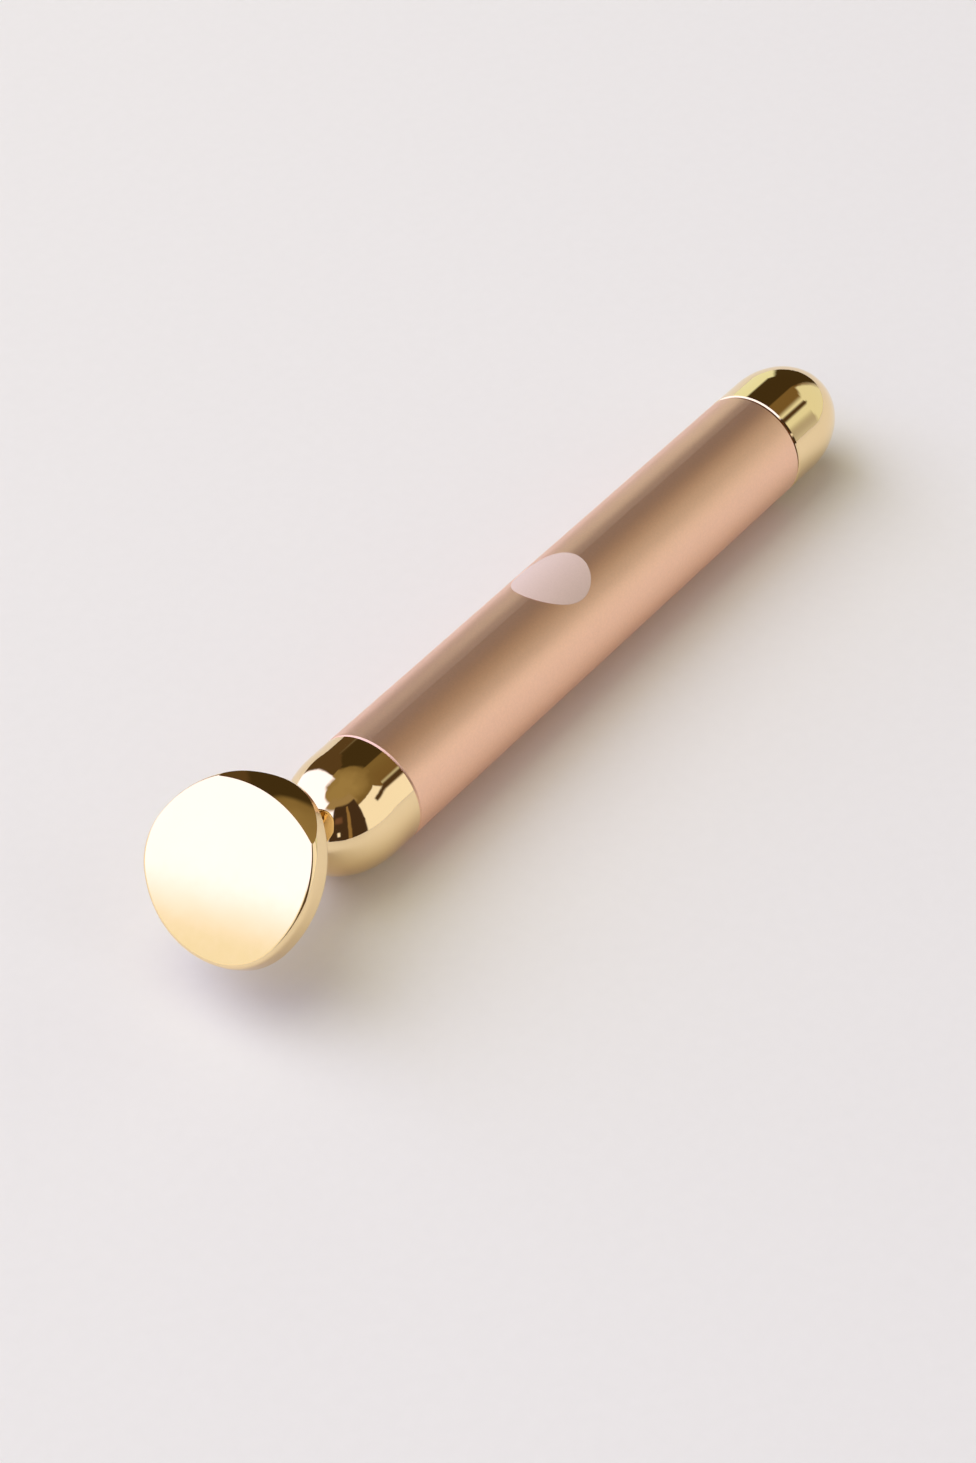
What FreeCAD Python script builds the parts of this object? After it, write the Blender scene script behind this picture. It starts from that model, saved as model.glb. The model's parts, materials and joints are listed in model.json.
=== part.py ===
"""Battery facial massage wand: a slim tube handle, a domed front cap, a bent neck with a tilted
plate head, and a screw-on tail cap that is also the on/off switch.

Every piece is built along the handle's axis, which is local X with x = 0 at the tube's front end
and the head forward. save() then lifts it to the row frame, where the tube lies on z = 0.
"""
import FreeCAD, Part
import math
import os

from FreeCAD import Placement, Rotation, Vector

# ---------------------------------------------------------------- driving dimensions, millimetres
TUBE_R = 8.5                # outside radius of the handle
TUBE_BORE_R = 7.6
TUBE_LENGTH = 94.5
EDGE_CHAMFER = 0.2          # broken edge on the tube and on both caps
FRONT_JOINT_X = 37.1        # place of the tube's front end in the row frame

FRONT_CAP_STRAIGHT = 4.0    # cylindrical length before the dome starts
FRONT_DOME_LENGTH = 11.2
CAP_BORE_R = 7.4
NECK_SEAT_R = 3.5           # flat on top of the dome that the neck stands on
NECK_BORE_R = 2.5
FRONT_HOLLOW_LENGTH = 8.5   # the hollow inside the front dome
NUT_SEAT_R = 4.0            # flat at the end of that hollow, which the neck nut pulls against

HEAD_TILT = 42.0            # degrees from the handle's axis up to the face's normal
NECK_BEND_X = 19.65         # where the neck's two axes meet
FACE_FROM_BEND = 13.6       # from that point to the polished face, along its normal
NECK_R = 3.2
NECK_BEND_R = 7.0
NECK_FOOT_R = 4.6
NECK_FOOT_LENGTH = 1.6
NECK_STUD_R = 2.0
NECK_STUD_LENGTH = 3.6
HEAD_STUD_R = 1.5
HEAD_STUD_LENGTH = 2.4
HEAD_HOLE_SPARE = 0.2       # the plate's blind hole is this much deeper than its stud
WASHER_R = 3.8
WASHER_BORE_R = 2.1
WASHER_THICKNESS = 0.6
NUT_ACROSS_FLATS = 7.0
NUT_LENGTH = 2.4

HEAD_CORNER_REACH = 13.2    # centre of the plate to each of its three rounded corners
HEAD_SIDE_REACH = 12.25     # centre of the plate to the middle of each side
HEAD_CORNER_R = 9.2
HEAD_THICKNESS = 4.0
HEAD_FACE_ROLL = (0.6, 1.4) # width and depth of the rolled rim on the face
HEAD_BACK_ROLL = (1.0, 0.8)
RIM_WIDTH = 3.0             # the rim's sections overlap the plate's core a little
RIM_OVERLAP = 0.4
HEAD_TWIST = 22.5           # turn of the plate on its neck, degrees
HEAD_SHIFT = (-0.1, -0.5)   # the outline's centre from the neck's stud, in the plate's own x and y
BEVEL_REACH = 10.35         # stud to the edge where the bevel at the plate's top starts
BEVEL_SLOPE = 43.0          # how far the bevel dips at that edge, degrees
BEVEL_R = 27.0              # the bevel is crowned: it is cut with a large sphere
BEVEL_TURN = 18.5           # the bevel's place round the plate, from its first corner, degrees

RING_LENGTH_IN_TUBE = 6.0
RING_BORE_R = 6.15
SEAL_R = 0.4                # cord radius of both O-rings
SEAL_GROOVE_WIDTH = 1.0
FRONT_SEAL_X = -1.4         # middle of the front groove
TAIL_SEAL_SETBACK = 1.1     # cap's face to the middle of the tail groove

MOTOR_FRONT_X = -9.0
MOTOR_LENGTH = 15.0
MOTOR_R = 6.0
MOTOR_HALF_HEIGHT = 5.0
MOTOR_WALL = 0.5
MOTOR_NEST_GAP = 0.02       # between the can and the pieces pressed into it
SHAFT_R = 0.75
SHAFT_PLAY = 0.03
SHAFT_FRONT_X = -0.6
SHAFT_REAR_OVERHANG = 0.6
BUSHING_R = 1.6
BUSHING_IN_MOTOR = 1.2
FRONT_BUSHING_PROUD = 0.6
BUSHING_HOLE_DEPTH = 1.0    # how deep the front bushing's hole is cut, more than the can's wall
END_BELL_THICKNESS = 2.0
END_BELL_BOSS_R = 2.2
END_BELL_BOSS_LENGTH = 0.8
MAGNET_LENGTH = 7.5
MAGNET_REAR_FROM_FRONT = 9.0
MAGNET_HALF_HEIGHT = 3.3
MAGNET_AIR_GAP = 0.35
TERMINAL_Y = 3.8            # middle of each blade, from the motor's axis
TERMINAL_THICKNESS = 0.4
TERMINAL_WIDTH = 1.6
TERMINAL_BEHIND = 2.0       # how far the blades stand out behind the motor
TERMINAL_LENGTH = 4.4
BRUSH_WIDTH = 0.8
BRUSH_THICKNESS = 0.35
BRUSH_FROM_REAR = 2.9       # motor's rear to the brush leaf
WEIGHT_R = 5.8
WEIGHT_HUB_R = 1.8
WEIGHT_LENGTH = 5.5
WEIGHT_FRONT_X = -0.9
ARMATURE_R = 3.6
ARMATURE_LENGTH = 6.5
ARMATURE_REAR_FROM_FRONT = 8.6
POLES = 3                   # pole shoes, coils and commutator segments
POLE_THICKNESS = 0.7
POLE_GAP = 0.8
POLE_ARM_WIDTH = 1.2
ARMATURE_HUB_R = 1.6
COIL_WIDTH = 2.4
COIL_DEPTH = 1.1
COIL_INNER_R = 1.75
COIL_OVERHANG = 0.5
COMMUTATOR_R = 1.5
COMMUTATOR_LENGTH = 2.2
COMMUTATOR_FROM_REAR = 2.4
COMMUTATOR_SLIT = 0.15
COMMUTATOR_SLIT_FLOOR = 1.1

HOLDER_R = 7.45
HOLDER_REAR_X = -33.0
HOLDER_FRONT_X = -7.5
HOLDER_WALL_THICKNESS = 2.0 # solid disc behind the lead space, which backs the contact
LEAD_SPACE_R = 5.2
MOTOR_POCKET_SPARE = 2.6    # pocket behind the motor for its blades and boss
MOTOR_POCKET_GAP = 0.03
CONTACT_R = 5.0
CONTACT_THICKNESS = 0.3
LEAD_R = 0.4
LEAD_BEND_R = 1.2
RED_LEAD_Y = 3.0            # where the red lead passes the holder's wall
LEAD_HOLE_R = 0.7
RED_LEAD_RUN = 1.8          # straight run behind the blade, before the lead steps inward
BLACK_LEAD_TURN = 3.0       # holder's rear to where the black lead turns outward
LEAD_SLOT = 1.6
CLIP_START = 1.0            # holder's rear to the ground clip
CLIP_SIZE = 4.0
CLIP_GAP = 0.02

CELL_R = 7.15               # AA cell: 14.3 mm across and 50.5 mm long with its nub
CELL_LENGTH = 50.5
CELL_NUB_R = 2.6
CELL_NUB_LENGTH = 1.0
CELL_EDGE_ROLL = 0.5
FLAT_EDGE = 0.01            # an edge shorter than this along the axis is one of the end circles
SEAL_RING_R = 5.4
SEAL_RING_THICKNESS = 0.25
SEAL_RING_GAP = 0.1
LINER_R = 7.55
LINER_BORE_R = 7.25
LINER_FRONT_GAP = 0.6
LINER_REAR_SETBACK = 0.5

SWITCH_GAP = 0.3            # the cap stands this far off the tube when the wand is off
THREAD_IN_TUBE = 5.25
TAIL_RING_R = 7.52
TAIL_CAP_STRAIGHT = 6.2
TAIL_DOME_LENGTH = 11.0
CAP_WALL = 1.1
CAP_STEP = 0.6              # shoulder that the plug is pressed against
PLUG_SETBACK = 4.5          # cap's face to the plug's face
PLUG_LENGTH = 2.0
PLUG_POST_R = 1.9
PLUG_POST_LENGTH = 2.5
SEAT_THICKNESS = 0.3
SEAT_BORE_R = 2.1
SPRING_WIRE_R = 0.35
SPRING_TURNS = 6
SPRING_WIDE_R = 4.8         # at the seat
SPRING_NARROW_R = 3.0       # at the cell's base
RUNNING_GAP = 0.05          # between pieces that turn or slide on each other

SPOT_R = 5.9                # printed round mark, measured along the tube's skin
SPOT_X = -43.0
SPOT_ROLL = 4.4             # degrees that the mark sits round the tube from the top
SPOT_THICKNESS = 0.03
CUT_SPARE = 1.0             # how far a cutting piece runs past what it cuts

AXIS = Vector(1, 0, 0)
TUBE_REAR_X = -TUBE_LENGTH
TAIL_FACE_X = TUBE_REAR_X - SWITCH_GAP
MOTOR_REAR_X = MOTOR_FRONT_X - MOTOR_LENGTH
CELL_FRONT_X = HOLDER_REAR_X - CONTACT_THICKNESS
CELL_REAR_X = CELL_FRONT_X - CELL_LENGTH


# ---------------------------------------------------------------- helpers
def save(name, shape):
    """Lifts a finished piece into the row frame and writes its STEP file."""
    placed = shape.copy()
    placed.translate(Vector(FRONT_JOINT_X, 0, TUBE_R))
    placed.exportStep(os.path.join("parts", name + ".step"))


def rod(x_low, x_high, radius, y=0.0, z=0.0):
    """A plain cylinder along the handle's axis."""
    return Part.makeCylinder(radius, x_high - x_low, Vector(x_low, y, z), AXIS)


def pipe(x_low, x_high, outer, inner):
    """A plain ring along the handle's axis."""
    return rod(x_low, x_high, outer).cut(rod(x_low, x_high, inner))


def turned(edges):
    """Turns a closed outline of edges in the XZ half plane about the handle's axis."""
    face = Part.Face(Part.Wire(Part.__sortEdges__(edges)))
    return face.revolve(Vector(0, 0, 0), AXIS, 360)


def lines(points):
    """Straight edges through (x, radius) points."""
    corners = [Vector(x, 0, r) for x, r in points]
    return [Part.makeLine(a, b) for a, b in zip(corners, corners[1:])]


def dome(centre_x, length, radius, end_radius, way):
    """A quarter-ellipse edge from the full radius at centre_x down to end_radius.

    way is +1 for a dome that points forward and -1 for one that points back.
    Returns the edge and the x where it stops.
    """
    nose = Vector(centre_x + way * length, 0, 0)
    ellipse = Part.Ellipse(nose, Vector(centre_x, 0, radius), Vector(centre_x, 0, 0))
    stop = math.asin(end_radius / radius)
    edge = Part.ArcOfEllipse(ellipse, stop, math.pi / 2).toShape()
    return edge, centre_x + way * length * math.cos(stop)


def polar(radius, degrees):
    """A point in the XY plane."""
    return Vector(radius * math.cos(math.radians(degrees)), radius * math.sin(math.radians(degrees)), 0)


def oring(x):
    """A round-section rubber ring on the handle's axis, its outside just inside the tube's bore."""
    return Part.makeTorus(TUBE_BORE_R - RUNNING_GAP - SEAL_R, SEAL_R, Vector(x, 0, 0), AXIS)


def slab(x_low, x_high, half_height):
    """A box centred on the axis and wider than the tube, used to cut flats."""
    corner = Vector(x_low, -TUBE_R, -half_height)
    return Part.makeBox(x_high - x_low, 2 * TUBE_R, 2 * half_height, corner)


def block(x_low, length, y_mid, y_size, z_mid, z_size):
    """A box placed by the middle of its section."""
    return Part.makeBox(length, y_size, z_size, Vector(x_low, y_mid - y_size / 2, z_mid - z_size / 2))


def spun(shape, degrees):
    """The shape turned about the handle's axis."""
    shape.rotate(Vector(0, 0, 0), AXIS, degrees)
    return shape


def seal_groove(x):
    """The cutting ring for an O-ring's groove centred at x."""
    half = SEAL_GROOVE_WIDTH / 2
    floor_r = TUBE_BORE_R - RUNNING_GAP - 2 * SEAL_R
    return pipe(x - half, x + half, TUBE_BORE_R + CUT_SPARE, floor_r)


def head_placement():
    """Local z to the face's normal, local x to the plate's first corner, origin on the face."""
    tilt = math.radians(HEAD_TILT)
    normal = Vector(math.cos(tilt), 0, math.sin(tilt))
    upward = Vector(-math.sin(tilt), 0, math.cos(tilt))
    sideways = normal.cross(upward)
    twist = math.radians(HEAD_TWIST)
    # twisting from upward towards +Y, which is the side away from normal x upward
    corner = upward * math.cos(twist) - sideways * math.sin(twist)
    other = normal.cross(corner)
    base = Vector(NECK_BEND_X, 0, 0) + normal * FACE_FROM_BEND
    return Placement(base, Rotation(corner, other, normal, "ZXY"))


# ---------------------------------------------------------------- head and front cap
def head_arcs():
    """The plate's outline as (centre, radius, direction, half span) arcs, all tangent in turn.

    It is a rounded triangle: three corner arcs, and three wider side arcs between them.
    """
    corner_out = HEAD_CORNER_REACH - HEAD_CORNER_R
    rise = HEAD_SIDE_REACH - HEAD_CORNER_R
    shift = Vector(*HEAD_SHIFT, 0)
    side_back = (rise**2 - corner_out**2) / (corner_out - 2 * rise)
    side_span = math.degrees(math.atan2(corner_out * math.sqrt(3) / 2, side_back + corner_out / 2))
    arcs = []
    for corner in (0, 120, 240):
        side = corner + 60
        arcs.append((polar(corner_out, corner) + shift, HEAD_CORNER_R, corner, 60 - side_span))
        arcs.append((polar(-side_back, side) + shift, HEAD_SIDE_REACH + side_back, side, side_span))
    return arcs


def rim_section(radius):
    """The rim's section at an arc of that radius: an elliptical roll on the face and on the back."""
    inside = radius - RIM_WIDTH
    levels = (0, -HEAD_THICKNESS)
    rolls = []
    for level, (width, depth), way in zip(levels, (HEAD_FACE_ROLL, HEAD_BACK_ROLL), (-1, 1)):
        centre = Vector(radius - width, 0, level + way * depth)
        on_side = centre + Vector(width, 0, 0)
        on_flat = Vector(centre.x, 0, level)
        longer, shorter = (on_side, on_flat) if width > depth else (on_flat, on_side)
        ellipse = Part.Ellipse(longer, shorter, centre)
        rolls.append(Part.ArcOfEllipse(ellipse, 0, math.pi / 2).toShape())
    face_end = Vector(radius - HEAD_FACE_ROLL[0], 0, 0)
    back_end = Vector(radius - HEAD_BACK_ROLL[0], 0, -HEAD_THICKNESS)
    side_high = Vector(radius, 0, -HEAD_FACE_ROLL[1])
    side_low = Vector(radius, 0, HEAD_BACK_ROLL[1] - HEAD_THICKNESS)
    straight = [
        Part.makeLine(Vector(inside, 0, 0), face_end),
        Part.makeLine(side_high, side_low),
        Part.makeLine(back_end, Vector(inside, 0, -HEAD_THICKNESS)),
        Part.makeLine(Vector(inside, 0, -HEAD_THICKNESS), Vector(inside, 0, 0)),
    ]
    return Part.Face(Part.Wire(Part.__sortEdges__(rolls + straight)))


def head_bevel():
    """The large ball that the plate keeps within, so that its surface trims the plate's top."""
    slope = math.radians(BEVEL_SLOPE)
    middle = polar(BEVEL_REACH - BEVEL_R * math.sin(slope), BEVEL_TURN)
    middle.z = -BEVEL_R * math.cos(slope)
    ball = Part.makeSphere(BEVEL_R, middle)
    ball.rotate(middle, Vector(0, 0, 1), 180 + BEVEL_TURN)
    return ball


def head_plate():
    """The polished plate: a flat core, a rolled rim round it, the bevel and the neck's hole."""
    core_edges = []
    rims = []
    for centre, radius, direction, half_span in head_arcs():
        core_r = radius - RIM_WIDTH + RIM_OVERLAP
        ends = [centre + polar(core_r, direction + side * half_span) for side in (-1, 0, 1)]
        core_edges.append(Part.Arc(*ends).toShape())
        section = rim_section(radius)
        section.rotate(Vector(0, 0, 0), Vector(0, 0, 1), direction - half_span)
        section.translate(centre)
        rims.append(section.revolve(centre, Vector(0, 0, 1), 2 * half_span))
    core = Part.Face(Part.Wire(Part.__sortEdges__(core_edges))).extrude(Vector(0, 0, -HEAD_THICKNESS))
    plate = core.fuse(rims).removeSplitter()
    depth = HEAD_STUD_LENGTH + HEAD_HOLE_SPARE
    hole = Part.makeCylinder(HEAD_STUD_R, depth, Vector(0, 0, -HEAD_THICKNESS))
    plate = plate.cut(hole).common(head_bevel())
    plate.Placement = head_placement()
    return plate


def neck_post():
    """A round post that leaves the dome along the axis and bends up to the plate's back."""
    tilt = math.radians(HEAD_TILT)
    tangent = NECK_BEND_R * math.tan(tilt / 2)
    normal = Vector(math.cos(tilt), 0, math.sin(tilt))
    corner = Vector(NECK_BEND_X, 0, 0)
    seat_x = front_seat_x()
    bend_start = corner - AXIS * tangent
    bend_middle_centre = bend_start + Vector(0, 0, NECK_BEND_R)
    bend_middle = bend_middle_centre + Vector(math.sin(tilt / 2), 0, -math.cos(tilt / 2)) * NECK_BEND_R
    bend_end = corner + normal * tangent
    back = corner + normal * (FACE_FROM_BEND - HEAD_THICKNESS)
    path = Part.Wire([
        Part.makeLine(Vector(seat_x, 0, 0), bend_start),
        Part.Arc(bend_start, bend_middle, bend_end).toShape(),
        Part.makeLine(bend_end, back),
    ])
    section = Part.Wire(Part.makeCircle(NECK_R, Vector(seat_x, 0, 0), AXIS))
    post = path.makePipeShell([section], True, False)
    foot = Part.makeCone(NECK_R, NECK_FOOT_R, NECK_FOOT_LENGTH, back - normal * NECK_FOOT_LENGTH, normal)
    base = Part.makeCone(NECK_SEAT_R, NECK_R, NECK_SEAT_R - NECK_R, Vector(seat_x, 0, 0), AXIS)
    stud = Part.makeCylinder(HEAD_STUD_R, HEAD_STUD_LENGTH, back, normal)
    nut_seat_x = front_nut_face()
    spigot = rod(nut_seat_x, seat_x, NECK_BORE_R)
    thread = rod(nut_seat_x - NECK_STUD_LENGTH, nut_seat_x, NECK_STUD_R)
    return post.fuse([foot, base, stud, spigot, thread]).removeSplitter()


def front_seat_x():
    """Where the front dome is cut flat for the neck."""
    return dome(FRONT_CAP_STRAIGHT, FRONT_DOME_LENGTH, TUBE_R, NECK_SEAT_R, 1)[1]


def front_cap():
    """The domed front cap, hollow, with the neck's bore through its nose."""
    outer, seat_x = dome(FRONT_CAP_STRAIGHT, FRONT_DOME_LENGTH, TUBE_R, NECK_SEAT_R, 1)
    inner, inner_x = dome(FRONT_CAP_STRAIGHT, FRONT_HOLLOW_LENGTH, CAP_BORE_R, NUT_SEAT_R, 1)
    edges = [outer, inner]
    edges += lines([(FRONT_CAP_STRAIGHT, TUBE_R), (EDGE_CHAMFER, TUBE_R), (0, TUBE_R - EDGE_CHAMFER)])
    edges += lines([(0, TUBE_R - EDGE_CHAMFER), (0, CAP_BORE_R), (FRONT_CAP_STRAIGHT, CAP_BORE_R)])
    edges += lines([(inner_x, NUT_SEAT_R), (inner_x, NECK_BORE_R)])
    edges += lines([(inner_x, NECK_BORE_R), (seat_x, NECK_BORE_R), (seat_x, NECK_SEAT_R)])
    return turned(edges)


def neck_washer():
    seat = front_nut_face()
    return pipe(seat - WASHER_THICKNESS, seat, WASHER_R, WASHER_BORE_R)


def neck_nut():
    """A hexagon nut on the neck's thread, pulling it home from inside the dome."""
    high = front_nut_face() - WASHER_THICKNESS
    low = high - NUT_LENGTH
    corner_r = NUT_ACROSS_FLATS / math.sqrt(3)
    points = []
    for degrees in range(0, 361, 60):
        corner = polar(corner_r, degrees)
        points.append(Vector(low, corner.x, corner.y))
    nut = Part.Face(Part.makePolygon(points)).extrude(AXIS * NUT_LENGTH)
    return nut.cut(rod(low, high, NECK_STUD_R))


def front_nut_face():
    """The inside face of the front cap's nose."""
    return dome(FRONT_CAP_STRAIGHT, FRONT_HOLLOW_LENGTH, CAP_BORE_R, NUT_SEAT_R, 1)[1]


def front_thread_ring():
    """The threaded ring that joins the front cap to the tube, with a groove for its O-ring."""
    in_tube = rod(-RING_LENGTH_IN_TUBE, 0, TUBE_BORE_R - RUNNING_GAP)
    body = in_tube.fuse(rod(0, FRONT_CAP_STRAIGHT, CAP_BORE_R))
    bore = rod(-RING_LENGTH_IN_TUBE - CUT_SPARE, FRONT_CAP_STRAIGHT + CUT_SPARE, RING_BORE_R)
    return body.cut(seal_groove(FRONT_SEAL_X)).cut(bore).removeSplitter()


# ---------------------------------------------------------------- handle
def handle_tube():
    c = EDGE_CHAMFER
    return turned(lines([
        (TUBE_REAR_X, TUBE_BORE_R), (0, TUBE_BORE_R), (0, TUBE_R - c), (-c, TUBE_R),
        (TUBE_REAR_X + c, TUBE_R), (TUBE_REAR_X, TUBE_R - c), (TUBE_REAR_X, TUBE_BORE_R),
    ]))


def printed_spot():
    """A round printed mark, thin as ink, wrapped on the tube."""
    half_width = TUBE_R * math.sin(SPOT_R / TUBE_R)
    outline = Part.Ellipse(Vector(SPOT_X, 0, 0), SPOT_R, half_width).toShape()
    column = Part.Face(Part.Wire(outline)).extrude(Vector(0, 0, 2 * TUBE_R))
    reach = SPOT_R + CUT_SPARE
    skin = pipe(SPOT_X - reach, SPOT_X + reach, TUBE_R + SPOT_THICKNESS, TUBE_R)
    return spun(skin.common(column), SPOT_ROLL)


def battery_liner():
    """The paper-thin sleeve that keeps the cell off the tube's bore."""
    low = CELL_REAR_X + LINER_REAR_SETBACK
    return pipe(low, HOLDER_REAR_X - LINER_FRONT_GAP, LINER_R, LINER_BORE_R)


# ---------------------------------------------------------------- motor
def motor_section(x_low, x_high, radius, half_height):
    """The motor's round section with two flats."""
    return rod(x_low, x_high, radius).common(slab(x_low, x_high, half_height))


def motor_can():
    inner_r = MOTOR_R - MOTOR_WALL
    inner_half = MOTOR_HALF_HEIGHT - MOTOR_WALL
    can = motor_section(MOTOR_REAR_X, MOTOR_FRONT_X, MOTOR_R, MOTOR_HALF_HEIGHT)
    can = can.cut(motor_section(MOTOR_REAR_X, MOTOR_FRONT_X - MOTOR_WALL, inner_r, inner_half))
    return can.cut(rod(MOTOR_FRONT_X - BUSHING_HOLE_DEPTH, MOTOR_FRONT_X, BUSHING_R))


def motor_magnets():
    """Two arc magnets, one each side of the armature."""
    low = MOTOR_FRONT_X - MAGNET_REAR_FROM_FRONT
    high = low + MAGNET_LENGTH
    ring = pipe(low, high, MOTOR_R - MOTOR_WALL - MOTOR_NEST_GAP, ARMATURE_R + MAGNET_AIR_GAP)
    return ring.common(slab(low, high, MAGNET_HALF_HEIGHT))


def motor_end_bell():
    """The plastic rear plug of the motor, with a boss for the rear bushing."""
    front = MOTOR_REAR_X + END_BELL_THICKNESS
    inset = MOTOR_WALL + MOTOR_NEST_GAP
    plug = motor_section(MOTOR_REAR_X, front, MOTOR_R - inset, MOTOR_HALF_HEIGHT - inset)
    boss = rod(MOTOR_REAR_X - END_BELL_BOSS_LENGTH, MOTOR_REAR_X, END_BELL_BOSS_R)
    bore = rod(MOTOR_REAR_X - END_BELL_BOSS_LENGTH - CUT_SPARE, front + CUT_SPARE, BUSHING_R)
    return plug.fuse(boss).cut(bore).cut(motor_terminals()).removeSplitter()


def bushing(x_low, x_high):
    return pipe(x_low, x_high, BUSHING_R, SHAFT_R + SHAFT_PLAY)


def front_bushing():
    return bushing(MOTOR_FRONT_X - BUSHING_IN_MOTOR, MOTOR_FRONT_X + FRONT_BUSHING_PROUD)


def rear_bushing():
    return bushing(MOTOR_REAR_X - END_BELL_BOSS_LENGTH, MOTOR_REAR_X + BUSHING_IN_MOTOR)


def motor_terminals():
    """Two blade terminals through the end bell."""
    blades = []
    for side in (-1, 1):
        blades.append(block(MOTOR_REAR_X - TERMINAL_BEHIND, TERMINAL_LENGTH,
                            side * TERMINAL_Y, TERMINAL_THICKNESS, 0, TERMINAL_WIDTH))
    return Part.makeCompound(blades)


def motor_brushes():
    """Two spring leaves that reach in from the terminals to the commutator."""
    inner = COMMUTATOR_R + RUNNING_GAP
    outer = TERMINAL_Y - TERMINAL_THICKNESS / 2
    leaf_x = MOTOR_REAR_X + BRUSH_FROM_REAR
    arm_x = MOTOR_REAR_X + TERMINAL_LENGTH - TERMINAL_BEHIND
    arm_length = leaf_x + BRUSH_THICKNESS - arm_x
    brushes = []
    for side in (-1, 1):
        leaf = block(leaf_x, BRUSH_THICKNESS, side * (inner + outer) / 2, outer - inner, 0, BRUSH_WIDTH)
        arm = block(arm_x, arm_length, side * TERMINAL_Y, TERMINAL_THICKNESS, 0, BRUSH_WIDTH)
        brushes.append(leaf.fuse(arm).removeSplitter())
    return Part.makeCompound(brushes)


def motor_shaft():
    return rod(MOTOR_REAR_X - SHAFT_REAR_OVERHANG, SHAFT_FRONT_X, SHAFT_R)


def armature_span():
    """Rear and front x of the armature's iron."""
    low = MOTOR_FRONT_X - ARMATURE_REAR_FROM_FRONT
    return low, low + ARMATURE_LENGTH


def armature_core():
    """Three pole shoes on three arms, stacked along the shaft."""
    low, high = armature_span()
    core = rod(low, high, ARMATURE_HUB_R)
    rim = pipe(low, high, ARMATURE_R, ARMATURE_R - POLE_THICKNESS)
    step = 360 / POLES
    arm_length = ARMATURE_R - POLE_THICKNESS / 2
    for k in range(POLES):
        arm = block(low, ARMATURE_LENGTH, 0, POLE_ARM_WIDTH, arm_length / 2, arm_length)
        gap = block(low, ARMATURE_LENGTH, 0, POLE_GAP, ARMATURE_R, ARMATURE_R)
        core = core.fuse(spun(arm, step * k))
        rim = rim.cut(spun(gap, step * (k + 0.5)))
    return core.fuse(rim).cut(rod(low, high, SHAFT_R)).removeSplitter()


def armature_windings():
    """One coil round each of the three arms, filling the slots beside it."""
    low, high = armature_span()
    length = ARMATURE_LENGTH + 2 * COIL_OVERHANG
    middle = COIL_INNER_R + COIL_DEPTH / 2
    limit_r = ARMATURE_R - POLE_THICKNESS - MOTOR_NEST_GAP
    coils = []
    for k in range(POLES):
        coil = block(low - COIL_OVERHANG, length, 0, COIL_WIDTH, middle, COIL_DEPTH)
        coil = coil.cut(block(low, ARMATURE_LENGTH, 0, POLE_ARM_WIDTH, middle, COIL_DEPTH))
        coil = coil.common(rod(low - CUT_SPARE, high + CUT_SPARE, limit_r))
        coils.append(spun(coil, 360 / POLES * k))
    return Part.makeCompound(coils)


def commutator():
    """Three copper segments on an insulating ring, behind the armature."""
    low = MOTOR_REAR_X + COMMUTATOR_FROM_REAR
    ring = pipe(low, low + COMMUTATOR_LENGTH, COMMUTATOR_R, SHAFT_R)
    slit_middle = COMMUTATOR_SLIT_FLOOR + CUT_SPARE / 2
    for k in range(POLES):
        slit = block(low, COMMUTATOR_LENGTH, 0, COMMUTATOR_SLIT, slit_middle, CUT_SPARE)
        ring = ring.cut(spun(slit, 360 / POLES * k))
    return ring


def eccentric_weight():
    """The half-round weight whose spin makes the wand vibrate. It hangs below the shaft."""
    low = WEIGHT_FRONT_X - WEIGHT_LENGTH
    upper_half = block(low, WEIGHT_LENGTH, 0, 2 * TUBE_R, TUBE_R / 2, TUBE_R)
    half = rod(low, WEIGHT_FRONT_X, WEIGHT_R).cut(upper_half)
    hub = rod(low, WEIGHT_FRONT_X, WEIGHT_HUB_R)
    return half.fuse(hub).cut(rod(low, WEIGHT_FRONT_X, SHAFT_R)).removeSplitter()


# ---------------------------------------------------------------- motor holder and wiring
def motor_holder():
    """A plastic cradle that fills the tube round the motor and backs the positive contact."""
    pocket_rear = MOTOR_REAR_X - MOTOR_POCKET_SPARE
    wall_front = HOLDER_REAR_X + HOLDER_WALL_THICKNESS
    pocket = motor_section(pocket_rear, HOLDER_FRONT_X, MOTOR_R + MOTOR_POCKET_GAP,
                           MOTOR_HALF_HEIGHT + MOTOR_POCKET_GAP)
    red_hole = rod(HOLDER_REAR_X, wall_front, LEAD_HOLE_R, y=RED_LEAD_Y)
    slot_x = HOLDER_REAR_X + BLACK_LEAD_TURN - LEAD_SLOT / 2
    slot_reach = HOLDER_R + CUT_SPARE - LEAD_SPACE_R
    slot_middle = LEAD_SPACE_R + slot_reach / 2 - CUT_SPARE / 2
    black_slot = block(slot_x, LEAD_SLOT, -slot_middle, slot_reach, 0, LEAD_SLOT)
    body = rod(HOLDER_REAR_X, HOLDER_FRONT_X, HOLDER_R)
    body = body.cut(pocket).cut(rod(wall_front, pocket_rear, LEAD_SPACE_R))
    return body.cut(red_hole).cut(black_slot)


def positive_contact():
    """The plated disc that the cell's nub presses on."""
    return rod(CELL_FRONT_X, HOLDER_REAR_X, CONTACT_R)


def ground_clip():
    """A thin leaf between the holder and the tube's bare bore, for the return current."""
    low = HOLDER_REAR_X + CLIP_START
    leaf = pipe(low, low + CLIP_SIZE, TUBE_BORE_R - CLIP_GAP, HOLDER_R + CLIP_GAP)
    return leaf.common(block(low, CLIP_SIZE, -HOLDER_R, CLIP_SIZE, 0, CLIP_SIZE))


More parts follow.
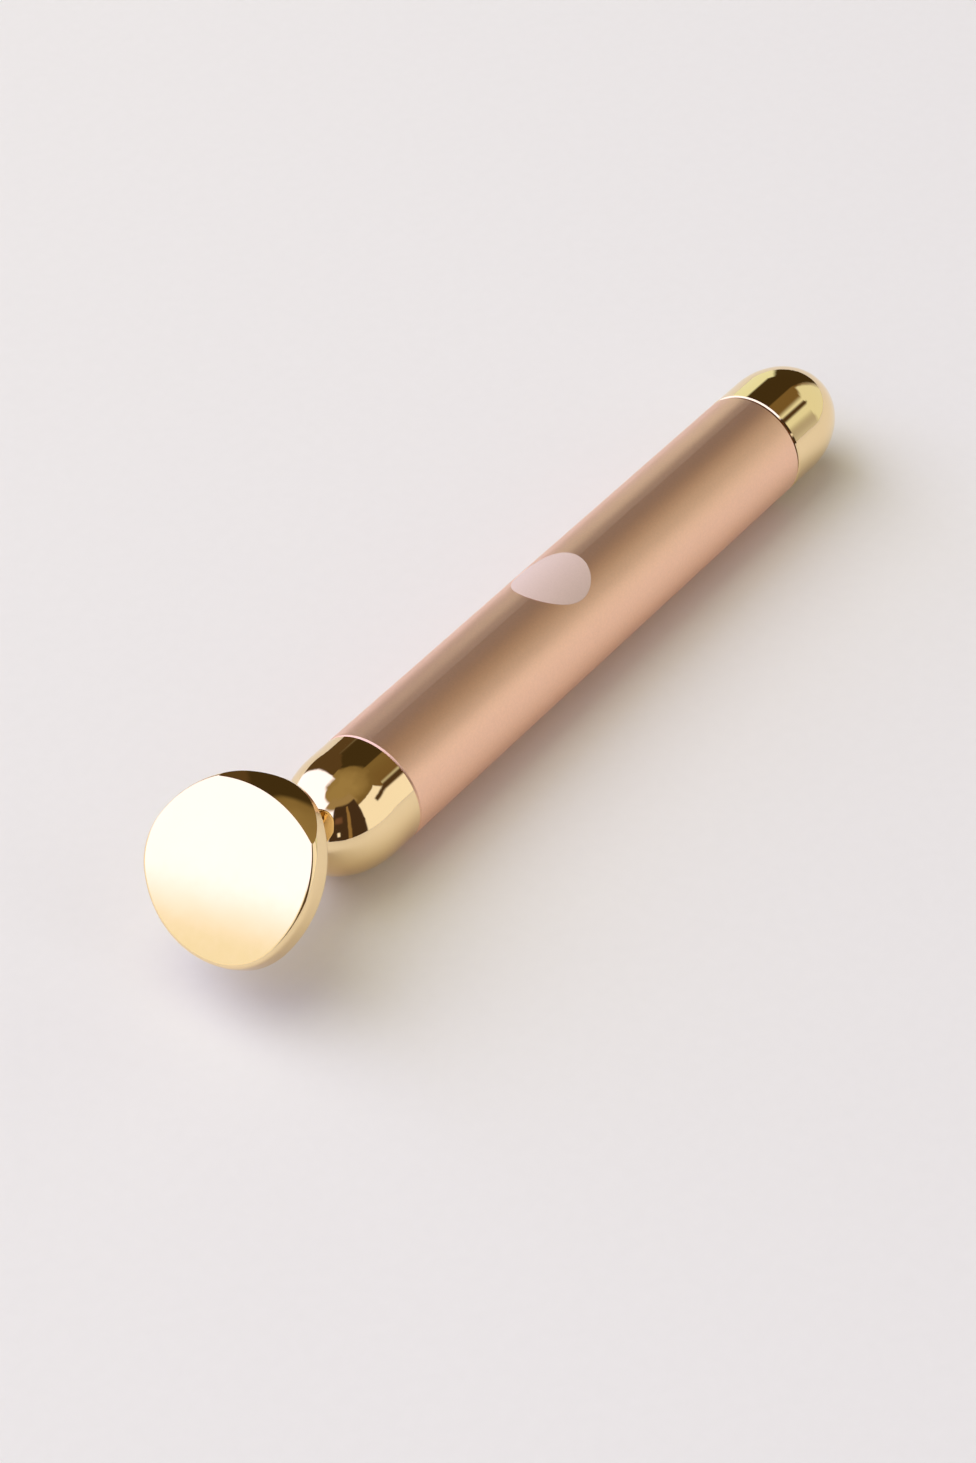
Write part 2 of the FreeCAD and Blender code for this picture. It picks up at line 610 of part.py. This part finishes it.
def bent_lead(points):
    """An insulated lead: straight runs joined by tangent arcs."""
    edges = []
    start = points[0]
    for before, corner, after in zip(points, points[1:], points[2:]):
        inward = (before - corner).normalize()
        outward = (after - corner).normalize()
        half = inward.getAngle(outward) / 2
        back_off = LEAD_BEND_R / math.tan(half)
        centre = corner + (inward + outward).normalize() * (LEAD_BEND_R / math.sin(half))
        first = corner + inward * back_off
        last = corner + outward * back_off
        middle = centre + (corner - centre).normalize() * LEAD_BEND_R
        edges += [Part.makeLine(start, first), Part.Arc(first, middle, last).toShape()]
        start = last
    edges.append(Part.makeLine(start, points[-1]))
    path = Part.Wire(edges)
    heading = (points[1] - points[0]).normalize()
    section = Part.Wire(Part.makeCircle(LEAD_R, points[0], heading))
    return path.makePipeShell([section], True, False)


def red_lead():
    """From the motor's +Y terminal back to the positive contact."""
    start = Vector(MOTOR_REAR_X - TERMINAL_BEHIND, TERMINAL_Y, 0)
    end = Vector(HOLDER_REAR_X, RED_LEAD_Y, 0)
    return bent_lead([start, start - AXIS * RED_LEAD_RUN, end + AXIS * (RED_LEAD_RUN + LEAD_BEND_R), end])


def black_lead():
    """From the motor's -Y terminal out to the ground clip."""
    start = Vector(MOTOR_REAR_X - TERMINAL_BEHIND, -TERMINAL_Y, 0)
    turn_x = HOLDER_REAR_X + BLACK_LEAD_TURN
    return bent_lead([start, Vector(turn_x, -TERMINAL_Y, 0), Vector(turn_x, -HOLDER_R, 0)])


# ---------------------------------------------------------------- cell
def cell_can():
    can = rod(CELL_REAR_X, CELL_FRONT_X - CELL_NUB_LENGTH, CELL_R)
    rims = [edge for edge in can.Edges if edge.BoundBox.XLength < FLAT_EDGE]
    return can.makeFillet(CELL_EDGE_ROLL, rims)


def cell_nub():
    return rod(CELL_FRONT_X - CELL_NUB_LENGTH, CELL_FRONT_X, CELL_NUB_R)


def cell_seal_ring():
    """The insulating ring round the nub."""
    low = CELL_FRONT_X - CELL_NUB_LENGTH
    return pipe(low, low + SEAL_RING_THICKNESS, SEAL_RING_R, CELL_NUB_R + SEAL_RING_GAP)


# ---------------------------------------------------------------- tail cap and its switch
def tail_plug_x():
    """Front face of the plug inside the tail cap."""
    return TAIL_FACE_X - PLUG_SETBACK


def tail_thread_ring():
    """The threaded ring fixed in the tail cap, which screws into the tube."""
    front = TAIL_FACE_X + THREAD_IN_TUBE
    body = rod(TAIL_FACE_X, front, TAIL_RING_R).fuse(rod(tail_plug_x(), TAIL_FACE_X, CAP_BORE_R))
    bore = rod(tail_plug_x() - CUT_SPARE, front + CUT_SPARE, RING_BORE_R)
    return body.cut(seal_groove(TAIL_FACE_X + TAIL_SEAL_SETBACK)).cut(bore).removeSplitter()


def tail_cap():
    """The domed tail cap, hollow behind its plug."""
    outer_start = TAIL_FACE_X - TAIL_CAP_STRAIGHT
    outer, nose_x = dome(outer_start, TAIL_DOME_LENGTH, TUBE_R, 0.0, -1)
    step_x = tail_plug_x() - PLUG_LENGTH
    hollow_r = CAP_BORE_R - CAP_STEP
    inner, inner_nose_x = dome(step_x, TAIL_DOME_LENGTH - CAP_WALL, hollow_r, 0.0, -1)
    c = EDGE_CHAMFER
    edges = [outer, inner]
    edges += lines([(outer_start, TUBE_R), (TAIL_FACE_X - c, TUBE_R), (TAIL_FACE_X, TUBE_R - c)])
    edges += lines([(TAIL_FACE_X, TUBE_R - c), (TAIL_FACE_X, CAP_BORE_R), (step_x, CAP_BORE_R)])
    edges += lines([(step_x, CAP_BORE_R), (step_x, hollow_r)])
    edges += lines([(inner_nose_x, 0), (nose_x, 0)])
    return turned(edges)


def cap_plug():
    """The plastic plug that holds the spring seat, with a post up the spring's middle."""
    face = tail_plug_x()
    disc = rod(face - PLUG_LENGTH, face, CAP_BORE_R)
    post = rod(face, face + PLUG_POST_LENGTH, PLUG_POST_R)
    return disc.fuse(post).removeSplitter()


def spring_seat():
    """The contact washer that stays still while the cap turns behind it."""
    low = tail_plug_x() + RUNNING_GAP
    return pipe(low, low + SEAT_THICKNESS, RING_BORE_R - RUNNING_GAP, SEAT_BORE_R)


def tail_spring():
    """The battery spring, coned from the seat down to the cell's base."""
    low = tail_plug_x() + RUNNING_GAP + SEAT_THICKNESS + RUNNING_GAP + SPRING_WIRE_R
    high = CELL_REAR_X - RUNNING_GAP - SPRING_WIRE_R
    height = high - low
    cone_angle = math.degrees(math.atan2(SPRING_NARROW_R - SPRING_WIDE_R, height))
    helix = Part.makeHelix(height / SPRING_TURNS, height, SPRING_WIDE_R, cone_angle)
    section = Part.Wire(Part.makeCircle(SPRING_WIRE_R, Vector(SPRING_WIDE_R, 0, 0), Vector(0, 1, 0)))
    coil = Part.Wire(helix.Edges).makePipeShell([section], True, True)
    coil.Placement = Placement(Vector(low, 0, 0), Rotation(Vector(0, 1, 0), 90))
    return coil


def build():
    os.makedirs("parts", exist_ok=True)
    pieces = {
        "head_plate": head_plate,
        "neck_post": neck_post,
        "neck_washer": neck_washer,
        "neck_nut": neck_nut,
        "front_cap": front_cap,
        "front_thread_ring": front_thread_ring,
        "handle_tube": handle_tube,
        "printed_spot": printed_spot,
        "battery_liner": battery_liner,
        "motor_can": motor_can,
        "motor_magnets": motor_magnets,
        "motor_end_bell": motor_end_bell,
        "motor_terminals": motor_terminals,
        "motor_brushes": motor_brushes,
        "motor_shaft": motor_shaft,
        "front_bushing": front_bushing,
        "rear_bushing": rear_bushing,
        "armature_core": armature_core,
        "armature_windings": armature_windings,
        "commutator": commutator,
        "eccentric_weight": eccentric_weight,
        "motor_holder": motor_holder,
        "positive_contact": positive_contact,
        "ground_clip": ground_clip,
        "red_lead": red_lead,
        "black_lead": black_lead,
        "cell_can": cell_can,
        "cell_nub": cell_nub,
        "cell_seal_ring": cell_seal_ring,
        "tail_thread_ring": tail_thread_ring,
        "tail_cap": tail_cap,
        "cap_plug": cap_plug,
        "spring_seat": spring_seat,
        "tail_spring": tail_spring,
    }
    for name, make in pieces.items():
        save(name, make())
    save("front_seal", oring(FRONT_SEAL_X))
    save("tail_seal", oring(TAIL_FACE_X + TAIL_SEAL_SETBACK))


build()
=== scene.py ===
"""Looks for the facial massage wand: materials, floor, studio light and camera around the CAD frame."""
import json

import bpy
from mathutils import Matrix, Vector


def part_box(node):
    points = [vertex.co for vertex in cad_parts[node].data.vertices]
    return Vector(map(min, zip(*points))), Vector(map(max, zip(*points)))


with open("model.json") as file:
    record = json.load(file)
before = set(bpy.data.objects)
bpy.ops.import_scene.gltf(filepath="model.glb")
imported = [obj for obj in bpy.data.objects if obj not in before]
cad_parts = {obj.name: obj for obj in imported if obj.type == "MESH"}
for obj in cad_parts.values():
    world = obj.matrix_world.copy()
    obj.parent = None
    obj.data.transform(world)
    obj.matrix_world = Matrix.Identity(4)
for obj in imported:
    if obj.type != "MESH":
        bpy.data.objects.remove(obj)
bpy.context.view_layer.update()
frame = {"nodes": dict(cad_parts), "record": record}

NODES = frame["nodes"]

JOINT_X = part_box("handle_tube")[1].x     # the tube's front end, where the domed cap starts

MM = 0.001

# camera, measured from the tube's front end
CAMERA_OFFSET = Vector((0.2861, 0.2241, 0.3321))
CAMERA_RIGHT = Vector((-0.5819, 0.8133, 0.0))
CAMERA_UP = Vector((-0.5313, -0.3802, 0.757))
SENSOR_HEIGHT = 36.0
LENS = 89.6
FAR_CLIP = 20.0

# shades of a material: a soft noise picks between its darker and its lighter shade
SHADE_START = 0.3
SHADE_STOP = 0.7
FINE_SHADE_START = 0.35
FINE_SHADE_STOP = 0.65
METAL_SHADES = 0.05
METAL_ROUGHNESS_SPREAD = 0.2
PLASTIC_SHADES = 0.06
PLASTIC_ROUGHNESS_SPREAD = 0.15
TURNED_STRETCH = 0.02           # lathe lines: noise drawn out round the handle's axis


# ---------------------------------------------------------------- node helpers
def fill_ramp(ramp, stops):
    """Sets a colour ramp's (position, colour) stops."""
    while len(ramp.elements) < len(stops):
        ramp.elements.new(0.5)
    for element, (position, colour) in zip(ramp.elements, stops):
        element.position = position
        element.color = (*colour, 1.0)


class Graph:
    """Builds one material's node tree, with its Principled shader ready."""

    def __init__(self, name):
        self.material = bpy.data.materials.new(name)
        self.material.use_nodes = True
        self.tree = self.material.node_tree
        self.shader = self.tree.nodes["Principled BSDF"]
        self.place = self.add("ShaderNodeTexCoord").outputs["Object"]

    def add(self, kind, **settings):
        node = self.tree.nodes.new(kind)
        for key, value in settings.items():
            setattr(node, key, value)
        return node

    def link(self, source, target):
        self.tree.links.new(source, target)

    def base(self, metallic, roughness):
        """Values that are the same all over go on the shader's own sockets."""
        self.shader.inputs["Metallic"].default_value = metallic
        self.shader.inputs["Roughness"].default_value = roughness
        return self

    def stretched(self, scale):
        """The object's own coordinates, scaled by axis."""
        mapping = self.add("ShaderNodeMapping")
        mapping.inputs["Scale"].default_value = scale
        self.link(self.place, mapping.inputs["Vector"])
        return mapping.outputs["Vector"]

    def noise(self, size_mm, detail=2.0, roughness=0.5, scale=(1, 1, 1)):
        """Noise whose features are about size_mm across."""
        node = self.add("ShaderNodeTexNoise")
        node.inputs["Scale"].default_value = 1000.0 / size_mm
        node.inputs["Detail"].default_value = detail
        node.inputs["Roughness"].default_value = roughness
        self.link(self.stretched(scale), node.inputs["Vector"])
        return node.outputs["Fac"]

    def spread(self, fac, low, high):
        """A number that runs from low to high with the noise."""
        node = self.add("ShaderNodeMapRange")
        node.inputs["From Min"].default_value = SHADE_START
        node.inputs["From Max"].default_value = SHADE_STOP
        node.inputs["To Min"].default_value = low
        node.inputs["To Max"].default_value = high
        self.link(fac, node.inputs["Value"])
        return node.outputs["Result"]

    def colours(self, fac, stops):
        """A colour ramp through (position, colour) stops."""
        node = self.add("ShaderNodeValToRGB")
        fill_ramp(node.color_ramp, stops)
        self.link(fac, node.inputs["Fac"])
        return node.outputs["Color"]

    def paint(self, colour, roughness=None):
        """Links the colour and, where it varies, the roughness."""
        self.link(colour, self.shader.inputs["Base Color"])
        if roughness is not None:
            self.link(roughness, self.shader.inputs["Roughness"])

    def bump(self, height, depth_mm):
        """A relief of that depth, for grain that is too fine to model."""
        node = self.add("ShaderNodeBump")
        node.inputs["Distance"].default_value = depth_mm * MM
        node.inputs["Strength"].default_value = 1.0
        self.link(height, node.inputs["Height"])
        self.link(node.outputs["Normal"], self.shader.inputs["Normal"])


def around(colour, share):
    """Two shades of a colour, darker and lighter by share."""
    darker = tuple(c * (1 - share) for c in colour)
    lighter = tuple(min(c * (1 + share), 1.0) for c in colour)
    return darker, lighter


def shades(colour, share):
    """Ramp stops for a coarse noise, from the darker shade to the lighter."""
    low, high = around(colour, share)
    return [(SHADE_START, low), (SHADE_STOP, high)]


def fine_shades(colour, share):
    """Ramp stops for a fine noise, which swings less."""
    low, high = around(colour, share)
    return [(FINE_SHADE_START, low), (FINE_SHADE_STOP, high)]


# ---------------------------------------------------------------- materials
def polished_gold(name):
    """Mirror gold plating: faint haze in the polish and a long, shallow ripple."""
    g = Graph(name).base(1.0, 0.03)
    tint = g.colours(g.noise(6.0), shades((0.95, 0.74, 0.42), 0.008))
    haze = g.spread(g.noise(1.3, detail=5.0), 0.02, 0.05)
    g.paint(tint, haze)
    g.bump(g.noise(5.0, detail=0.0), 0.002)
    return g.material


def satin_rose_gold():
    """Bead-blasted and anodised aluminium: a fine even grain with a soft sheen, a little of it matt."""
    g = Graph("satin_rose_gold").base(0.85, 0.36)
    tint = g.colours(g.noise(0.35, detail=4.0, roughness=0.7), fine_shades((0.97, 0.62, 0.44), 0.03))
    grain = g.noise(0.12, detail=3.0, roughness=0.8)
    g.paint(tint, g.spread(g.noise(0.5, detail=4.0), 0.34, 0.40))
    g.bump(grain, 0.006)
    return g.material


def pale_print():
    """Pad-printed ink: nearly matt, with the grain of the tube just showing through."""
    g = Graph("pale_print").base(0.0, 0.45)
    g.paint(g.colours(g.noise(0.3, detail=4.0), fine_shades((0.70, 0.53, 0.475), 0.02)))
    g.bump(g.noise(0.15, detail=3.0), 0.002)
    return g.material


def metal(name, colour, roughness, turned_mm=0.0):
    """A plain metal with cloudy tone and, if turned_mm is set, lathe lines along the handle's axis."""
    g = Graph(name).base(1.0, roughness)
    tint = g.colours(g.noise(1.5, detail=4.0), shades(colour, METAL_SHADES))
    smooth = roughness * (1 - METAL_ROUGHNESS_SPREAD)
    rough = roughness * (1 + METAL_ROUGHNESS_SPREAD)
    g.paint(tint, g.spread(g.noise(0.6, detail=4.0), smooth, rough))
    if turned_mm:
        lines = g.noise(turned_mm, detail=1.0, scale=(1.0, TURNED_STRETCH, TURNED_STRETCH))
        g.bump(lines, 0.01)
    else:
        g.bump(g.noise(0.25, detail=3.0), 0.004)
    return g.material


def plastic(name, colour, roughness, grain_mm=0.3):
    """Moulded plastic or rubber with a fine spark-eroded grain."""
    g = Graph(name).base(0.0, roughness)
    tint = g.colours(g.noise(2.0, detail=3.0), shades(colour, PLASTIC_SHADES))
    smooth = roughness * (1 - PLASTIC_ROUGHNESS_SPREAD)
    rough = roughness * (1 + PLASTIC_ROUGHNESS_SPREAD)
    g.paint(tint, g.spread(g.noise(grain_mm, detail=3.0), smooth, rough))
    g.bump(g.noise(grain_mm, detail=2.0), 0.006)
    return g.material


MATERIALS = {
    "polished_gold": polished_gold("polished_gold"),
    "plated_gold": polished_gold("plated_gold"),
    "satin_rose_gold": satin_rose_gold(),
    "pale_print": pale_print(),
    "bare_aluminium": metal("bare_aluminium", (0.78, 0.78, 0.79), 0.28, turned_mm=0.25),
    "bright_steel": metal("bright_steel", (0.70, 0.70, 0.71), 0.22, turned_mm=0.2),
    "black_rubber": plastic("black_rubber", (0.025, 0.025, 0.026), 0.6),
    "clear_liner": plastic("clear_liner", (0.80, 0.81, 0.78), 0.25, grain_mm=0.8),
    "motor_steel": metal("motor_steel", (0.60, 0.60, 0.60), 0.32),
    "magnet": metal("magnet", (0.20, 0.19, 0.19), 0.55),
    "white_plastic": plastic("white_plastic", (0.80, 0.79, 0.76), 0.45),
    "black_plastic": plastic("black_plastic", (0.035, 0.035, 0.038), 0.45),
    "contact_brass": metal("contact_brass", (0.83, 0.62, 0.30), 0.25),
    "copper_wire": metal("copper_wire", (0.80, 0.38, 0.20), 0.3, turned_mm=0.15),
    "weight_metal": metal("weight_metal", (0.48, 0.47, 0.46), 0.45),
    "nickel_plate": metal("nickel_plate", (0.80, 0.77, 0.72), 0.15),
    "spring_wire": metal("spring_wire", (0.72, 0.70, 0.67), 0.2),
    "red_insulation": plastic("red_insulation", (0.55, 0.03, 0.02), 0.4),
    "black_insulation": plastic("black_insulation", (0.03, 0.03, 0.03), 0.4),
    "cell_jacket": plastic("cell_jacket", (0.05, 0.14, 0.34), 0.2, grain_mm=1.0),
}


def dress_frame():
    """Gives every CAD node the material of its slot in the record."""
    for row in frame["record"]["subparts"]:
        mesh = NODES[row["node"]].data
        mesh.materials.clear()
        mesh.materials.append(MATERIALS[row["material_slot"]])


# ---------------------------------------------------------------- stage
FLOOR_HALF = 20.0
FLOOR_COLOUR = (0.86, 0.835, 0.825)
FLOOR_SHADES = 0.006
FLOOR_ROUGHNESS = 0.6

# The studio is painted on the world by direction. Azimuth runs from +X towards +Y and elevation up
# from the floor, both in degrees. Each panel is (azimuths, elevations, softness, colour), and a
# later panel covers an earlier one.
CEILING = [
    (0.0, (0.60, 0.58, 0.52)),
    (0.55, (0.17, 0.10, 0.033)),
    (0.80, (0.20, 0.135, 0.05)),
    (0.97, (0.34, 0.25, 0.11)),
]
CEILING_PATCHES = 2.6           # scale of the soft patches on the ceiling
PATCH_SHARE = 0.22
WINDOW = ((-109, 32), (-5, 66), 2.5, (1.35, 1.42, 2.20))
PANELS = [
    ((-5, 90), (56, 75), 4.0, (0.34, 0.25, 0.13)),
    ((28, 86), (-5, 62), 2.0, (0.06, 0.035, 0.02)),
    ((60, 65), (-5, 58), 1.2, (0.30, 0.19, 0.08)),
    ((43, 47), (8, 15), 1.5, (1.1, 1.05, 1.0)),
    ((36, 50), (33, 43), 3.0, (0.16, 0.08, 0.05)),
    ((86, 133), (-5, 49), 1.2, (0.98, 0.95, 0.93)),
    ((138, 178), (-5, 39), 2.5, (0.80, 0.82, 0.66)),
    ((112, 150), (30, 37), 2.0, (0.08, 0.045, 0.02)),
    ((-178, -128), (-5, 57), 2.0, (0.055, 0.035, 0.012)),
    ((-146, -130), (-5, 24), 2.0, (0.85, 0.92, 0.72)),
    ((-131, -109), (-5, 58), 1.5, (0.10, 0.06, 0.025)),
]
# the low front panel: cream below a slanting edge, seen in the flat of the plate
CREAM = (1.0, 0.97, 0.93)
CREAM_AZIMUTHS = (-70, 28)
CREAM_SOFTNESS = 2.0
EDGE_AZIMUTHS = (-60, -12)      # between these the cream panel's top edge climbs
EDGE_ELEVATIONS = (14.6, 38.4)
EDGE_SOFTNESS = 0.65

# an overhead soft light, which only the matt surfaces show
OVERHEAD_PLACE = (0.163, -0.925, 1.766)
OVERHEAD_SIZE = (2.4, 2.4)
OVERHEAD_POWER = 26.0
OVERHEAD_COLOUR = (0.97, 0.98, 0.70)


def floor():
    """A plain pale sheet under the wand, far larger than the view."""
    corners = [(-FLOOR_HALF, -FLOOR_HALF, 0), (FLOOR_HALF, -FLOOR_HALF, 0)]
    corners += [(FLOOR_HALF, FLOOR_HALF, 0), (-FLOOR_HALF, FLOOR_HALF, 0)]
    mesh = bpy.data.meshes.new("floor")
    mesh.from_pydata(corners, [], [(0, 1, 2, 3)])
    sheet = bpy.data.objects.new("floor", mesh)
    bpy.context.scene.collection.objects.link(sheet)
    g = Graph("floor_paper").base(0.0, FLOOR_ROUGHNESS)
    g.paint(g.colours(g.noise(2.0, detail=4.0), shades(FLOOR_COLOUR, FLOOR_SHADES)))
    mesh.materials.append(g.material)


class Studio:
    """Paints soft-edged panels of light on the world, by direction."""

    def __init__(self):
        world = bpy.data.worlds.new("studio")
        bpy.context.scene.world = world
        world.use_nodes = True
        self.tree = world.node_tree
        direction = self.tree.nodes.new("ShaderNodeTexCoord").outputs["Generated"]
        split = self.tree.nodes.new("ShaderNodeSeparateXYZ")
        self.tree.links.new(direction, split.inputs["Vector"])
        x, y, height = (split.outputs[axis] for axis in "XYZ")
        self.azimuth = self.math("DEGREES", self.math("ARCTAN2", y, x))
        self.elevation = self.math("DEGREES", self.math("ARCSINE", height))
        patches = self.tree.nodes.new("ShaderNodeTexNoise")
        patches.inputs["Scale"].default_value = CEILING_PATCHES
        self.tree.links.new(direction, patches.inputs["Vector"])
        centred = self.math("SUBTRACT", patches.outputs["Fac"], 0.5)
        shift = self.math("MULTIPLY", centred, PATCH_SHARE)
        ramp = self.tree.nodes.new("ShaderNodeValToRGB")
        fill_ramp(ramp.color_ramp, CEILING)
        self.tree.links.new(self.math("ADD", height, shift), ramp.inputs["Fac"])
        self.colour = ramp.outputs["Color"]

    def math(self, operation, *values):
        """One step of arithmetic on sockets and plain numbers."""
        node = self.tree.nodes.new("ShaderNodeMath")
        node.operation = operation
        for socket, value in zip(node.inputs, values):
            if isinstance(value, (int, float)):
                socket.default_value = value
            else:
                self.tree.links.new(value, socket)
        return node.outputs["Value"]

    def step(self, value, edge, softness):
        """0 below the edge and 1 above it, over twice the softness."""
        node = self.tree.nodes.new("ShaderNodeMapRange")
        node.interpolation_type = "SMOOTHSTEP"
        node.inputs["From Min"].default_value = edge - softness
        node.inputs["From Max"].default_value = edge + softness
        self.tree.links.new(value, node.inputs["Value"])
        return node.outputs["Result"]

    def between(self, value, low, high, softness):
        """1 from low to high and 0 outside, with soft edges."""
        rise = self.step(value, low, softness)
        return self.math("SUBTRACT", rise, self.step(value, high, softness))

    def cover(self, mask, colour):
        """Lays a colour over what is painted so far, where the mask is 1."""
        node = self.tree.nodes.new("ShaderNodeMix")
        node.data_type = "RGBA"
        factor, below, above = (node.inputs[k] for k in (0, 6, 7))
        self.tree.links.new(mask, factor)
        self.tree.links.new(self.colour, below)
        above.default_value = (*colour, 1.0)
        self.colour = node.outputs[2]

    def panel(self, azimuths, elevations, softness, colour):
        """A panel between two azimuths and two elevations."""
        across = self.between(self.azimuth, *azimuths, softness)
        upward = self.between(self.elevation, *elevations, softness)
        self.cover(self.math("MULTIPLY", across, upward), colour)

    def slanted_panel(self):
        """The cream panel, whose top edge climbs with azimuth."""
        edge = self.tree.nodes.new("ShaderNodeMapRange")
        sockets = ("From Min", "From Max", "To Min", "To Max")
        for socket, value in zip(sockets, EDGE_AZIMUTHS + EDGE_ELEVATIONS):
            edge.inputs[socket].default_value = value
        self.tree.links.new(self.azimuth, edge.inputs["Value"])
        below = self.math("SUBTRACT", edge.outputs["Result"], self.elevation)
        across = self.between(self.azimuth, *CREAM_AZIMUTHS, CREAM_SOFTNESS)
        self.cover(self.math("MULTIPLY", across, self.step(below, 0.0, EDGE_SOFTNESS)), CREAM)

    def finish(self):
        self.tree.links.new(self.colour, self.tree.nodes["Background"].inputs["Color"])


def overhead_light():
    """A large soft light that lifts the floor and the print but isn't mirrored in the metal."""
    data = bpy.data.lights.new("overhead", "AREA")
    data.shape = "RECTANGLE"
    data.size, data.size_y = OVERHEAD_SIZE
    data.energy = OVERHEAD_POWER
    data.color = OVERHEAD_COLOUR
    lamp = bpy.data.objects.new("overhead", data)
    lamp.location = OVERHEAD_PLACE
    lamp.rotation_euler = (-Vector(OVERHEAD_PLACE)).to_track_quat("-Z", "Y").to_euler()
    lamp.visible_glossy = False
    bpy.context.scene.collection.objects.link(lamp)


def studio():
    """Paints the room and hangs the overhead light."""
    room = Studio()
    room.panel(*WINDOW)
    room.slanted_panel()
    for panel in PANELS:
        room.panel(*panel)
    room.finish()
    overhead_light()


def camera():
    """A long lens that looks down on the wand from the head's side."""
    data = bpy.data.cameras.new("camera")
    data.sensor_fit = "VERTICAL"
    data.sensor_height = SENSOR_HEIGHT
    data.lens = LENS
    data.clip_end = FAR_CLIP
    eye = bpy.data.objects.new("camera", data)
    right = CAMERA_RIGHT.normalized()
    back = right.cross(CAMERA_UP).normalized()
    up = back.cross(right)
    turn = Matrix((right, up, back)).transposed().to_4x4()
    eye.matrix_world = Matrix.Translation(Vector((JOINT_X, 0, 0)) + CAMERA_OFFSET) @ turn
    bpy.context.scene.collection.objects.link(eye)
    bpy.context.scene.camera = eye


camera()
dress_frame()
floor()
studio()
bpy.context.scene.view_settings.view_transform = "Standard"
